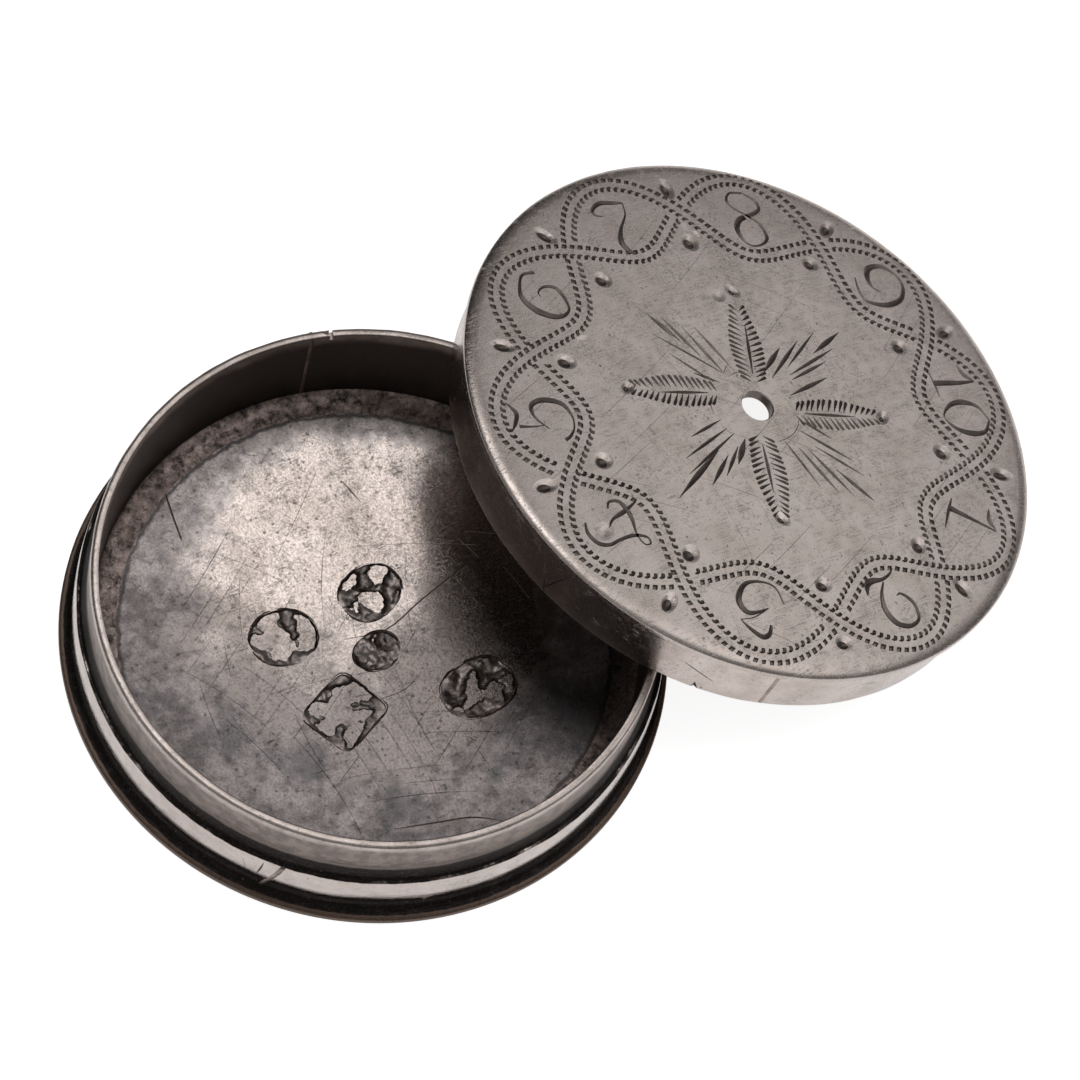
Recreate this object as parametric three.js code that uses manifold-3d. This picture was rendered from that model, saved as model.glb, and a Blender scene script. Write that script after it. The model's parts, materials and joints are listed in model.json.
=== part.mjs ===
// A round silver patch box in two parts: a shallow base and a pull-off lid with a numbered face.
// The base stands flat at the origin. The lid has been taken off and leans on the base: the low
// side of its rim is on the table, and further up the rim lies across the base's upright collar.
// Millimetres, +Z up, origin at the middle of the base's flat underside, lid leaning out along +X.

import * as THREE from 'three';
import { mergeVertices } from 'three/addons/utils/BufferGeometryUtils.js';
import Module from 'manifold-3d';

const wasm = await Module();
wasm.setup();

const degrees = THREE.MathUtils.degToRad;

// Base: floor disc, collar strip that the lid slides over, and moulding wire round its foot.
const FLOOR_RADIUS = 21.75;
const FLOOR_THICKNESS = 0.6;
const COLLAR_INNER_RADIUS = 19.5;
const COLLAR_OUTER_RADIUS = 20.12;
const COLLAR_TOP = 9.4;
const MOULDING_TOP = 6.2;
const BEAD_TOP = 4.86;
const BEAD_BOTTOM = 2.07;
const BEAD_TOP_RADIUS = 20.78;
const BEAD_BOTTOM_RADIUS = 20.9;
const BEAD_SWELL = 0.22;
const MOULDING_FOOT_RADIUS = 21.52;

// Lid: slightly domed plate with a pivot hole in a flat middle, and a wall strip under it.
const LID_RADIUS = 22;
const LID_THICKNESS = 0.75;
const LID_HEIGHT = 5.05;
const LID_DOME = 0.87;
const LID_LAND_RADIUS = 4;
const LID_WALL_OUTER_RADIUS = 21.32;
const LID_WALL_INNER_RADIUS = 20.52;
const PIVOT_HOLE_RADIUS = 1.2;

// Solder: a fillet in each inner corner, and a thin line where a bent strip's two ends meet.
const FLOOR_FILLET_WIDTH = 1.25;
const FLOOR_FILLET_HEIGHT = 0.55;
const LID_FILLET_WIDTH = 0.8;
const LID_FILLET_HEIGHT = 0.6;
const SEAM_WIDTH = 0.3;
const COLLAR_SEAM_ANGLE = degrees(76);
const MOULDING_SEAM_ANGLE = degrees(-138);
const MOULDING_SEAM_SLANT = degrees(35);
const LID_SEAM_ANGLE = degrees(-116);

// The lid's lean from flat, and the gap kept between faces in the leaning lid and below it.
const LID_LEAN = degrees(15.5);
const RESTING_GAP = 0.3;

const EDGE_ROUNDING = 0.22;
const TURN_SEGMENTS = 72;
const ARC_STEPS = 4;
const DOME_STEPS = 6;

const wornSilver = new THREE.MeshStandardMaterial({ color: 0xa39d99, metalness: 1, roughness: 0.42 });
const brightSilver = new THREE.MeshStandardMaterial({ color: 0xc2bdb8, metalness: 1, roughness: 0.3 });
const tarnishedSilver = new THREE.MeshStandardMaterial({ color: 0x7d7370, metalness: 1, roughness: 0.4 });
const silverSolder = new THREE.MeshStandardMaterial({ color: 0x7a6862, metalness: 1, roughness: 0.5 });

const point = (radius, height) => new THREE.Vector2(radius, height);

// Points along a quarter-round or cove that bends from start to end around one control point.
function bend(start, control, end) {
  return new THREE.QuadraticBezierCurve(start, control, end).getPoints(ARC_STEPS);
}

// A body of revolution about Z, from an outline that runs anticlockwise in radius and height.
function turned(outline) {
  const geometry = new THREE.LatheGeometry(outline, TURN_SEGMENTS);
  geometry.rotateX(Math.PI / 2);
  return geometry;
}

// A ring about Z: the same outline, closed on itself.
function turnedRing(outline) {
  return turned([...outline, outline[0].clone()]);
}

function toSolid(geometry) {
  const bare = geometry.clone();
  bare.deleteAttribute('normal');
  bare.deleteAttribute('uv');
  const merged = mergeVertices(bare, 1e-5);
  return new wasm.Manifold(new wasm.Mesh({
    numProp: 3,
    vertProperties: new Float32Array(merged.attributes.position.array),
    triVerts: new Uint32Array(merged.index.array),
  }));
}

function toGeometry(solid) {
  const mesh = solid.getMesh();
  const geometry = new THREE.BufferGeometry();
  geometry.setAttribute('position', new THREE.BufferAttribute(mesh.vertProperties, 3));
  geometry.setIndex(new THREE.BufferAttribute(mesh.triVerts, 1));
  geometry.computeVertexNormals();
  return geometry;
}

// The block that stands across a ring's wall at one angle, where a bent strip's ends meet.
function seamBlock(width, angle, slant) {
  const reach = 8;
  const block = new THREE.BoxGeometry(reach, width, 4 * LID_HEIGHT);
  block.rotateX(slant);
  block.translate(COLLAR_OUTER_RADIUS, 0, 0);
  block.rotateZ(angle);
  return toSolid(block);
}

// A strip bent round into a ring and its line of solder; gap is kept on each side of the line.
function seamedRing(geometry, angle, slant, gap) {
  const ring = toSolid(geometry);
  return {
    strip: toGeometry(ring.subtract(seamBlock(SEAM_WIDTH + 2 * gap, angle, slant))),
    line: toGeometry(ring.intersect(seamBlock(SEAM_WIDTH, angle, slant))),
  };
}

// Flat disc whose thin rounded edge shows below the moulding as the foot lip.
function floorDisc() {
  const half = FLOOR_THICKNESS / 2;
  const flat = FLOOR_RADIUS - half;
  return turned([
    point(0, 0),
    ...bend(point(flat, 0), point(FLOOR_RADIUS, 0), point(FLOOR_RADIUS, half)),
    ...bend(point(FLOOR_RADIUS, half), point(FLOOR_RADIUS, FLOOR_THICKNESS), point(flat, FLOOR_THICKNESS)).slice(1),
    point(0, FLOOR_THICKNESS),
  ]);
}

// Upright collar strip on the floor disc, its top edge worn round.
function collar() {
  const crown = (COLLAR_OUTER_RADIUS - COLLAR_INNER_RADIUS) / 2;
  const middle = COLLAR_INNER_RADIUS + crown;
  const shoulder = COLLAR_TOP - EDGE_ROUNDING;
  return turnedRing([
    point(COLLAR_INNER_RADIUS, FLOOR_THICKNESS),
    point(COLLAR_OUTER_RADIUS, FLOOR_THICKNESS),
    ...bend(point(COLLAR_OUTER_RADIUS, shoulder), point(COLLAR_OUTER_RADIUS, COLLAR_TOP), point(middle, COLLAR_TOP)),
    ...bend(point(middle, COLLAR_TOP), point(COLLAR_INNER_RADIUS, COLLAR_TOP), point(COLLAR_INNER_RADIUS, shoulder)).slice(1),
  ]);
}

// Drawn moulding wire: a cove up from the foot, a bead, and a cove that runs out on the collar.
function moulding() {
  const beadMiddle = (BEAD_TOP + BEAD_BOTTOM) / 2;
  return turnedRing([
    point(COLLAR_OUTER_RADIUS, FLOOR_THICKNESS),
    ...bend(
      point(MOULDING_FOOT_RADIUS, FLOOR_THICKNESS),
      point(BEAD_BOTTOM_RADIUS, FLOOR_THICKNESS + 0.2),
      point(BEAD_BOTTOM_RADIUS, BEAD_BOTTOM),
    ),
    ...bend(
      point(BEAD_BOTTOM_RADIUS, BEAD_BOTTOM),
      point(BEAD_BOTTOM_RADIUS + BEAD_SWELL, beadMiddle),
      point(BEAD_TOP_RADIUS, BEAD_TOP),
    ).slice(1),
    ...bend(
      point(BEAD_TOP_RADIUS, BEAD_TOP),
      point(COLLAR_OUTER_RADIUS + 0.1, BEAD_TOP + 0.35),
      point(COLLAR_OUTER_RADIUS, MOULDING_TOP),
    ).slice(1),
  ]);
}

// Solder run into the corner between a plate and the wall that stands on it.
function fillet(plateHeight, wallRadius, width, height) {
  return turnedRing([
    point(wallRadius - width, plateHeight),
    point(wallRadius, plateHeight),
    ...bend(
      point(wallRadius, plateHeight + height),
      point(wallRadius - 0.2 * width, plateHeight + 0.2 * height),
      point(wallRadius - width, plateHeight),
    ).slice(0, -1),
  ]);
}

// How far the plate's face stands above its edge: highest in the flat land round the pivot hole.
function domeRise(radius) {
  return LID_DOME * (1 - (Math.max(radius, LID_LAND_RADIUS) / LID_RADIUS) ** 2);
}

// The domed stretch of the plate's face or underside, from the land out to a radius near the edge.
function domeLine(lastRadius, offset) {
  return Array.from({ length: DOME_STEPS + 1 }, (_, step) => {
    const radius = THREE.MathUtils.lerp(LID_LAND_RADIUS, lastRadius, step / DOME_STEPS);
    return point(radius, domeRise(radius) + offset);
  });
}

// Domed plate with a worn round edge and the open pivot hole; height 0 is the face at its edge.
function lidPlate() {
  const bottom = -LID_THICKNESS;
  return turnedRing([
    point(PIVOT_HOLE_RADIUS, domeRise(0) + bottom),
    ...domeLine(LID_RADIUS - 0.1, bottom),
    point(LID_RADIUS, bottom + 0.1),
    ...bend(
      point(LID_RADIUS, -EDGE_ROUNDING),
      point(LID_RADIUS, 0),
      point(LID_RADIUS - EDGE_ROUNDING, domeRise(LID_RADIUS - EDGE_ROUNDING)),
    ),
    ...domeLine(LID_RADIUS - EDGE_ROUNDING, 0).reverse().slice(1),
    point(PIVOT_HOLE_RADIUS, domeRise(0)),
  ]);
}

// Wall strip that hangs under the plate and slides down over the base's collar.
function lidWall() {
  const rim = -LID_HEIGHT;
  const top = -LID_THICKNESS - RESTING_GAP;
  const rounding = EDGE_ROUNDING / 2;
  return turnedRing([
    point(LID_WALL_INNER_RADIUS, rim + rounding),
    point(LID_WALL_INNER_RADIUS + rounding, rim),
    point(LID_WALL_OUTER_RADIUS - rounding, rim),
    point(LID_WALL_OUTER_RADIUS, rim + rounding),
    point(LID_WALL_OUTER_RADIUS, top),
    point(LID_WALL_INNER_RADIUS, top),
  ]);
}

// Where the rim's middle stands, worked out from its two rests: the low side on the table, and
// the rim's inner edge just clear of the collar's outer edge where the two circles cross.
function leaningRimPlace() {
  const height = LID_WALL_OUTER_RADIUS * Math.sin(LID_LEAN);
  const climb = (COLLAR_TOP + RESTING_GAP - height) / Math.tan(LID_LEAN);
  const alongRim = climb / Math.cos(LID_LEAN);
  const crossing = Math.sqrt(alongRim ** 2 + COLLAR_OUTER_RADIUS ** 2 - LID_WALL_INNER_RADIUS ** 2);
  return new THREE.Vector3(climb + crossing, 0, height);
}

function addPiece(parent, name, geometry, material) {
  const mesh = new THREE.Mesh(geometry, material.clone());
  mesh.name = name;
  parent.add(mesh);
}

function buildBase() {
  const base = new THREE.Group();
  const collarRing = seamedRing(collar(), COLLAR_SEAM_ANGLE, 0, 0);
  const mouldingRing = seamedRing(moulding(), MOULDING_SEAM_ANGLE, MOULDING_SEAM_SLANT, 0);
  const floorFillet = fillet(FLOOR_THICKNESS, COLLAR_INNER_RADIUS, FLOOR_FILLET_WIDTH, FLOOR_FILLET_HEIGHT);
  addPiece(base, 'base_floor', floorDisc(), tarnishedSilver);
  addPiece(base, 'base_collar', collarRing.strip, wornSilver);
  addPiece(base, 'collar_seam_solder', collarRing.line, silverSolder);
  addPiece(base, 'foot_moulding', mouldingRing.strip, brightSilver);
  addPiece(base, 'moulding_seam_solder', mouldingRing.line, silverSolder);
  addPiece(base, 'floor_solder_fillet', floorFillet, silverSolder);
  return base;
}

function buildLid() {
  const lid = new THREE.Group();
  const wallRing = seamedRing(lidWall(), LID_SEAM_ANGLE, 0, RESTING_GAP);
  const lidFillet = fillet(
    LID_THICKNESS + RESTING_GAP,
    LID_WALL_INNER_RADIUS - RESTING_GAP,
    LID_FILLET_WIDTH,
    LID_FILLET_HEIGHT,
  );
  lidFillet.rotateX(Math.PI);
  addPiece(lid, 'lid_plate', lidPlate(), wornSilver);
  addPiece(lid, 'lid_wall', wallRing.strip, brightSilver);
  addPiece(lid, 'lid_seam_solder', wallRing.line, silverSolder);
  addPiece(lid, 'lid_solder_fillet', lidFillet, silverSolder);

  const upFromRim = new THREE.Vector3(Math.sin(LID_LEAN), 0, Math.cos(LID_LEAN)).multiplyScalar(LID_HEIGHT);
  lid.position.copy(leaningRimPlace()).add(upFromRim);
  lid.rotation.y = LID_LEAN;
  return lid;
}

const patchBox = new THREE.Group();
patchBox.add(buildBase(), buildLid());

export default patchBox;
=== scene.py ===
import json
import math
import random

import bmesh
import bpy
from mathutils import Matrix, Vector, noise


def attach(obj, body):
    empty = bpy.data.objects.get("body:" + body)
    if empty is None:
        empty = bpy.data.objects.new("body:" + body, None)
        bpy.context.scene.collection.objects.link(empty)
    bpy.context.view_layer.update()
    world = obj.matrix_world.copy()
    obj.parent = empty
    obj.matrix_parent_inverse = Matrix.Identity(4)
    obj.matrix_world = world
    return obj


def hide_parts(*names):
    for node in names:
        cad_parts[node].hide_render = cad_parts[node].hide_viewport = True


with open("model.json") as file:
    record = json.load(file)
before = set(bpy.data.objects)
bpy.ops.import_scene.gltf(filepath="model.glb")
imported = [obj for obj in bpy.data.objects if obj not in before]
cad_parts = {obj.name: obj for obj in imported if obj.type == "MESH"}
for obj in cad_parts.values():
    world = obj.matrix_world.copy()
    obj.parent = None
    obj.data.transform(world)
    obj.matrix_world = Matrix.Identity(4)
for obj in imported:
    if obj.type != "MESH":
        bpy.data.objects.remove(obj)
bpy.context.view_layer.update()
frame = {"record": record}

# Base floor: a disc of silver sheet, 43.5 mm across, wider than the wall, so that its rim makes the foot.
# Its worn inside has soft waves, knife scratches and five old punch dents that can't be read any more.
MM = 0.001
TURN_STEPS = 180
FLOOR_RADIUS = 21.75
FLOOR_THICKNESS = 0.6
FLOOR_WAVE = 0.022
SMOOTH_BELOW = math.radians(32)
FINISHES = 5


def eased(corners, steps=4):
    """The corners of an outline, each (radius, height, rounding), with an arc at each rounded one."""
    line = []
    count = len(corners)
    for index, (radius, height, rounding) in enumerate(corners):
        here = Vector((radius, height))
        if rounding == 0:
            line.append(here)
            continue
        before = Vector(corners[index - 1][:2]) - here
        after = Vector(corners[(index + 1) % count][:2]) - here
        start = here + before.normalized() * rounding
        end = here + after.normalized() * rounding
        for step in range(steps + 1):
            share = step / steps
            line.append(start.lerp(here, share).lerp(here.lerp(end, share), share))
    return line


def turned(line, closed=True, steps=TURN_STEPS):
    """A bmesh of an outline of (radius, height) points turned once round the upright axis, as on a lathe."""
    body = bmesh.new()
    verts = [body.verts.new((point[0], 0, point[1])) for point in line]
    edges = [body.edges.new(pair) for pair in zip(verts, verts[1:])]
    if closed:
        edges.append(body.edges.new((verts[-1], verts[0])))
    bmesh.ops.spin(
        body, geom=verts + edges, cent=(0, 0, 0), axis=(0, 0, 1), angle=math.tau, steps=steps, use_merge=True
    )
    bmesh.ops.remove_doubles(body, verts=body.verts[:], dist=0.0005)
    bmesh.ops.recalc_face_normals(body, faces=body.faces[:])
    return body


def waved(body, depth, size, place=(0, 0, 0), where=lambda spot: 1.0):
    """Moves the metal along its own surface by a soft noise, as years of wear and knocks do."""
    shift = Vector(place)
    body.normal_update()
    for vert in body.verts:
        spot = vert.co / size + shift
        vert.co += vert.normal * noise.noise(spot) * depth * where(vert.co)


def new_object(name, data):
    """Puts a mesh, lamp or camera into the scene."""
    made = bpy.data.objects.new(name, data)
    bpy.context.scene.collection.objects.link(made)
    return made


def put_in_place(body, name, node_name, body_name, materials, place=Matrix.Identity(4)):
    """Makes the finished piece, in metres, in the place of the solid that it stands for."""
    body.transform(Matrix.Scale(MM, 4) @ place)
    for face in body.faces:
        face.smooth = True
    for edge in body.edges:
        same_finish = len({face.material_index for face in edge.link_faces}) == 1
        edge.smooth = same_finish and edge.calc_face_angle(0) < SMOOTH_BELOW
    mesh = bpy.data.meshes.new(name)
    body.to_mesh(mesh)
    body.free()
    for material in materials:
        mesh.materials.append(material)
    piece = new_object(name, mesh)
    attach(piece, body_name)
    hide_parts(node_name)


def with_curve(path, steps=4):
    """More points along a drawn path, on a smooth curve through the given (x, y, width) points."""
    points = [Vector(point) for point in path]
    ends = [points[0] * 2 - points[1], *points, points[-1] * 2 - points[-2]]
    curve = []
    for before, here, ahead, beyond in zip(ends, ends[1:], ends[2:], ends[3:]):
        for step in range(steps):
            t = step / steps
            second = (2 * before - 5 * here + 4 * ahead - beyond) * t**2
            third = (3 * here - before - 3 * ahead + beyond) * t**3
            curve.append(0.5 * (2 * here + (ahead - before) * t + second + third))
    return [*curve, points[-1]]


def stroke(cutters, path, depth=0.38, turn=0.0, middle=(0, 0)):
    """Adds the V-shaped sliver that one stroke of the graver takes out along its (x, y, width) points."""
    lift = 0.2
    half = 0.5 * (depth + lift) / depth
    frame_of = Matrix.Rotation(turn, 4, "Z")
    frame_of.translation = Vector((*middle, 0))

    def stand(index):
        behind = path[max(index - 1, 0)]
        ahead = path[min(index + 1, len(path) - 1)]
        heading = math.atan2(ahead[1] - behind[1], ahead[0] - behind[0])
        width = max(path[index][2], 0.03)
        spot = Matrix.Translation((path[index][0], path[index][1], 0))
        return frame_of @ spot @ Matrix.Rotation(heading, 4, "Z") @ Matrix.Diagonal((width, width, width, 1))

    sliver = bmesh.new()
    place = stand(0)
    section = ((0, -half, lift), (0, half, lift), (0, 0, -depth))
    end = sliver.faces.new([sliver.verts.new(place @ Vector(corner)) for corner in section])
    for index in range(1, len(path)):
        passed = end
        made = bmesh.ops.extrude_face_region(sliver, geom=[end])["geom"]
        end = next(part for part in made if isinstance(part, bmesh.types.BMFace))
        if index > 1:
            bmesh.ops.delete(sliver, geom=[passed], context="FACES_ONLY")
        following = stand(index)
        bmesh.ops.transform(sliver, matrix=following @ place.inverted(), verts=end.verts[:])
        place = following
    bmesh.ops.recalc_face_normals(sliver, faces=sliver.faces[:])
    add_to(cutters, sliver)


def add_to(cutters, part, place=Matrix.Identity(4)):
    """Joins a small shape to a larger one, in its place."""
    mesh = bpy.data.meshes.new("part")
    part.to_mesh(mesh)
    part.free()
    mesh.transform(place)
    if place.to_3x3().determinant() < 0:
        mesh.flip_normals()
    cutters.from_mesh(mesh)
    bpy.data.meshes.remove(mesh)


def cut_away(body, *cutter_sets, finish=1):
    """Takes the cutters out of the body; the new faces inside the cuts get the finish of that number."""
    stock = new_object("stock", bpy.data.meshes.new("stock"))
    body.to_mesh(stock.data)
    body.free()
    tools = []
    for cutters in cutter_sets:
        tool = new_object("tool", bpy.data.meshes.new("tool"))
        for face in cutters.faces:
            face.material_index = finish
        cutters.to_mesh(tool.data)
        cutters.free()
        modifier = stock.modifiers.new("cut", "BOOLEAN")
        modifier.object = tool
        modifier.operation = "DIFFERENCE"
        modifier.solver = "MANIFOLD"
        tools.append(tool)
    for solid in [stock, *tools]:
        for _ in range(FINISHES):
            solid.data.materials.append(None)
    result = bpy.data.meshes.new_from_object(stock.evaluated_get(bpy.context.evaluated_depsgraph_get()))
    cut = bmesh.new()
    cut.from_mesh(result)
    for used in [stock, *tools]:
        mesh = used.data
        bpy.data.objects.remove(used)
        bpy.data.meshes.remove(mesh)
    bpy.data.meshes.remove(result)
    return cut


def graver_work(paths, depth=0.38, steps=4):
    """One set of cutters from several drawn strokes."""
    cutters = bmesh.new()
    for path in paths:
        stroke(cutters, with_curve(path, steps), depth)
    return cutters


def node(tree, kind, values=(), **settings):
    """Adds a shader node; its inputs take numbers, colours or the sockets that feed them."""
    made = tree.nodes.new("ShaderNode" + kind)
    for name, value in settings.items():
        setattr(made, name, value)
    for socket, value in dict(values).items():
        if isinstance(value, bpy.types.NodeSocket):
            tree.links.new(value, made.inputs[socket])
        else:
            made.inputs[socket].default_value = value
    return made


def tree_of(*values):
    """The node tree that the sockets among these values belong to."""
    return next(value.id_data for value in values if isinstance(value, bpy.types.NodeSocket))


def maths(operation, first, second=0.0, third=0.0, clamp=False):
    """One sum on two or three values or sockets."""
    values = {0: first, 1: second, 2: third}
    return node(tree_of(*values.values()), "Math", values, operation=operation, use_clamp=clamp).outputs[0]


def plus(first, second):
    """The sum of two values."""
    return maths("ADD", first, second)


def minus(first, second):
    """What is left of one value after another."""
    return maths("SUBTRACT", first, second)


def times(first, second):
    """The product of two values."""
    return maths("MULTIPLY", first, second)


def ramp(value, low, high, start=0.0, end=1.0):
    """A value that runs smoothly from start to end as the given one goes from low to high."""
    values = {"Value": value, "From Min": low, "From Max": high, "To Min": start, "To Max": end}
    return node(value.id_data, "MapRange", values, interpolation_type="SMOOTHSTEP").outputs[0]


def mixed(share, first, second):
    """One colour over another."""
    tree = tree_of(share, first, second)
    return node(tree, "Mix", {0: share, 6: first, 7: second}, data_type="RGBA").outputs[2]


def blended(share, first, second):
    """One value over another."""
    tree = tree_of(share, first, second)
    return node(tree, "Mix", {0: share, 2: first, 3: second}, data_type="FLOAT").outputs[0]


def soft_noise(place, scale, detail, roughness=0.5, distortion=0.0):
    """The outputs of a noise over the surface."""
    values = {"Vector": place, "Scale": scale, "Detail": detail, "Roughness": roughness}
    return node(place.id_data, "TexNoise", {**values, "Distortion": distortion}).outputs


def new_group(name, inputs, outputs):
    """An empty node group; an input is a place where its value is None, and else a number or a colour."""
    group = bpy.data.node_groups.new(name, "ShaderNodeTree")
    for label, value in inputs.items():
        kind = "Vector" if value is None else "Float" if isinstance(value, float) else "Color"
        socket = group.interface.new_socket(label, in_out="INPUT", socket_type="NodeSocket" + kind)
        if value is not None:
            socket.default_value = value
    for label in outputs:
        kind = "Color" if label == "Color" else "Float"
        group.interface.new_socket(label, in_out="OUTPUT", socket_type="NodeSocket" + kind)
    return group, group.nodes.new("NodeGroupInput").outputs


def finished(group, **results):
    """Joins the values that a node group gives to its outputs."""
    ends = group.nodes.new("NodeGroupOutput").inputs
    for label, value in results.items():
        group.links.new(value, ends[label])
    return group


# Each direction of fine scratches: its angle, how drawn out and how close they are, and their width.
SCRATCH_DIRECTIONS = (
    (0.5, 0.1, 1.6, 0.016), (-0.35, 0.14, 2.2, 0.016), (1.45, 0.08, 1.9, 0.016), (2.3, 0.2, 3.2, 0.02),
)


def scratch_group():
    """Fine scratches: the level lines of noises drawn out in four directions, broken up by a patchy mask."""
    inputs = {"Place": None, "Size": 1.0, "Amount": 0.5}
    group, given = new_group("fine_scratches", inputs, ["Height", "Lines"])
    sized = {0: given["Place"], 3: given["Size"]}
    place = node(group, "VectorMath", sized, operation="SCALE").outputs[0]
    lines = None
    for angle, along, across, width in SCRATCH_DIRECTIONS:
        drawn_out = {"Vector": place, "Rotation": (0.0, 0.0, angle), "Scale": (along, across, 0.3)}
        level = soft_noise(node(group, "Mapping", drawn_out).outputs[0], 1.0, 2.0)[0]
        line = ramp(maths("ABSOLUTE", minus(level, 0.5)), 0.0, width, 1.0, 0.0)
        lines = line if lines is None else maths("MAXIMUM", lines, line)
    shown = ramp(soft_noise(place, 0.9, 4.0)[0], minus(0.75, given["Amount"]), 0.75)
    kept = times(lines, shown)
    return finished(group, Lines=kept, Height=times(kept, -1.0))


def pitting_group():
    """Pits that dirt sits in, finer specks in drifts, and the grain of worn sheet between them."""
    inputs = {"Place": None, "Pit Size": 0.2}
    group, given = new_group("pits_and_grain", inputs, ["Pits", "Specks", "Grain", "Height"])
    place = given["Place"]
    fine = soft_noise(place, 6.0, 5.0, 0.65)
    grain = minus(fine[0], 0.5)
    pushed = {0: fine["Color"], 1: (0.22, 0.22, 0.22), 2: place}
    nudged = node(group, "VectorMath", pushed, operation="MULTIPLY_ADD").outputs[0]
    cells = node(group, "TexVoronoi", {"Vector": nudged, "Scale": 2.3}, feature="F1").outputs
    chance = node(group, "SeparateColor", {0: cells["Color"]}).outputs[0]
    reach = times(given["Pit Size"], maths("POWER", chance, 5.0))
    pits = ramp(minus(cells["Distance"], reach), -0.05, 0.03, 1.0, 0.0)
    drift = times(soft_noise(place, 0.4, 3.0)[0], 0.35)
    specks = ramp(plus(soft_noise(place, 3.6, 5.0, 0.72)[0], drift), 0.74, 0.86)
    low = maths("MULTIPLY_ADD", specks, 0.35, pits)
    return finished(group, Pits=pits, Specks=specks, Grain=grain, Height=minus(grain, low))


def tarnish_group():
    """Old silver's colour: clean metal, warm film in clouds, and blue-grey to black tarnish in patches."""
    amounts = {"Place": None, "Size": 0.12, "Film": 0.4, "Dark": 0.2}
    tones = dict.fromkeys(("Clean Colour", "Film Colour", "Dark Colour"), (0.5, 0.5, 0.5, 1))
    group, given = new_group("silver_tarnish", {**amounts, **tones}, ["Color", "Mask"])
    place = given["Place"]
    clouds = soft_noise(place, given["Size"], 9.0, 0.68)[0]
    spots = soft_noise(place, times(given["Size"], 2.7), 9.0, 0.72, 0.3)[0]
    film = maths("MULTIPLY", ramp(clouds, 0.36, 0.66), given["Film"], clamp=True)
    edge = minus(0.86, times(given["Dark"], 0.5))
    dark = ramp(spots, minus(edge, 0.2), plus(edge, 0.1))
    colour = mixed(film, given["Clean Colour"], given["Film Colour"])
    colour = mixed(dark, colour, given["Dark Colour"])
    return finished(group, Color=colour, Mask=maths("MAXIMUM", times(film, 0.5), dark))


SCRATCHES = scratch_group()
PITTING = pitting_group()
TARNISH = tarnish_group()


def silver(
    name, clean=(0.56, 0.49, 0.455), film=(0.4, 0.33, 0.295), dark=(0.12, 0.105, 0.1), film_share=0.5,
    dark_share=0.2, patch_size=0.12, smooth=0.22, dull=0.42, scratches=0.4, scratch_size=1.0,
    pit_size=0.2, specks=0.5, mottling=0.15, dent=0.008, origin=(0, 0, 0), lean=0.0, wall_radius=None,
    dirt=None,
):
    """Worn silver: film and tarnish in its colour, scratches and pits in its surface, duller where dirty."""
    material = bpy.data.materials.new(name)
    material.use_nodes = True
    tree = material.node_tree
    surface = tree.nodes["Principled BSDF"].inputs
    seen = node(tree, "TexCoord").outputs["Object"]
    centred = {"Vector": seen, "Location": Vector(origin) * MM, "Rotation": (0, lean, 0)}
    millimetres = {**centred, "Scale": (MM, MM, MM)}
    place = node(tree, "Mapping", millimetres, vector_type="TEXTURE").outputs[0]
    apart = node(tree, "SeparateXYZ", {0: place}).outputs
    along = place
    if wall_radius is not None:
        round_way = times(maths("ARCTAN2", apart[1], apart[0]), wall_radius)
        along = node(tree, "CombineXYZ", {0: round_way, 1: apart[2]}).outputs[0]
    amounts = {"Place": place, "Size": patch_size, "Film": film_share, "Dark": dark_share}
    tones = {"Clean Colour": (*clean, 1), "Film Colour": (*film, 1), "Dark Colour": (*dark, 1)}
    tarnish = node(tree, "Group", {**amounts, **tones}, node_tree=TARNISH).outputs
    worn = {"Place": along, "Size": scratch_size, "Amount": scratches}
    lines = node(tree, "Group", worn, node_tree=SCRATCHES).outputs
    pits = node(tree, "Group", {"Place": place, "Pit Size": pit_size}, node_tree=PITTING).outputs
    colour = tarnish["Color"]
    rough = ramp(tarnish["Mask"], 0.0, 1.0, smooth, dull)
    surface["Metallic"].default_value = 1.0
    metal = 1.0
    for mask, tone, dull_to, metal_to in dirt(place, apart) if dirt else ():
        colour = mixed(mask, colour, tone)
        rough = blended(mask, rough, dull_to)
        if metal != 1.0 or metal_to != 1.0:
            metal = blended(mask, metal, metal_to)
            tree.links.new(metal, surface["Metallic"])
    darker = mixed(0.72, colour, (*dark, 1))
    colour = mixed(ramp(pits["Grain"], 0.12, -0.16, 0.0, mottling), colour, darker)
    for mask, share in ((pits["Pits"], 0.9), (pits["Specks"], specks), (lines["Lines"], 0.3)):
        colour = mixed(times(mask, share), colour, darker)
    rough = maths("MULTIPLY_ADD", pits["Grain"], 0.2, rough)
    height = maths("MULTIPLY_ADD", lines["Height"], 0.6, pits["Height"])
    bump = node(tree, "Bump", {"Height": height, "Distance": dent * MM, "Strength": 1.0})
    for label, value in (("Base Color", colour), ("Roughness", rough), ("Normal", bump.outputs[0])):
        tree.links.new(value, surface[label])
    return material


def uneven(place, size, share):
    """A soft noise round nothing: its patches are this many millimetres wide."""
    return times(minus(soft_noise(place, 1 / size, 5.0, 0.65)[0], 0.5), share)


def wandering(value, place, size, share):
    """A value with a soft noise on it, which makes the edge of a layer of dirt wander."""
    return plus(value, uneven(place, size, share))


def from_axis(apart):
    """How far a point of the base lies from the box's upright axis."""
    squared = maths("MULTIPLY_ADD", apart[0], apart[0], times(apart[1], apart[1]))
    return maths("SQRT", squared)


def away_from(place, across, up):
    """How far a point of the floor lies from a spot on it."""
    spots = {0: place, 1: (across, up, FLOOR_THICKNESS)}
    return node(place.id_data, "VectorMath", spots, operation="DISTANCE").outputs["Value"]


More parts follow.
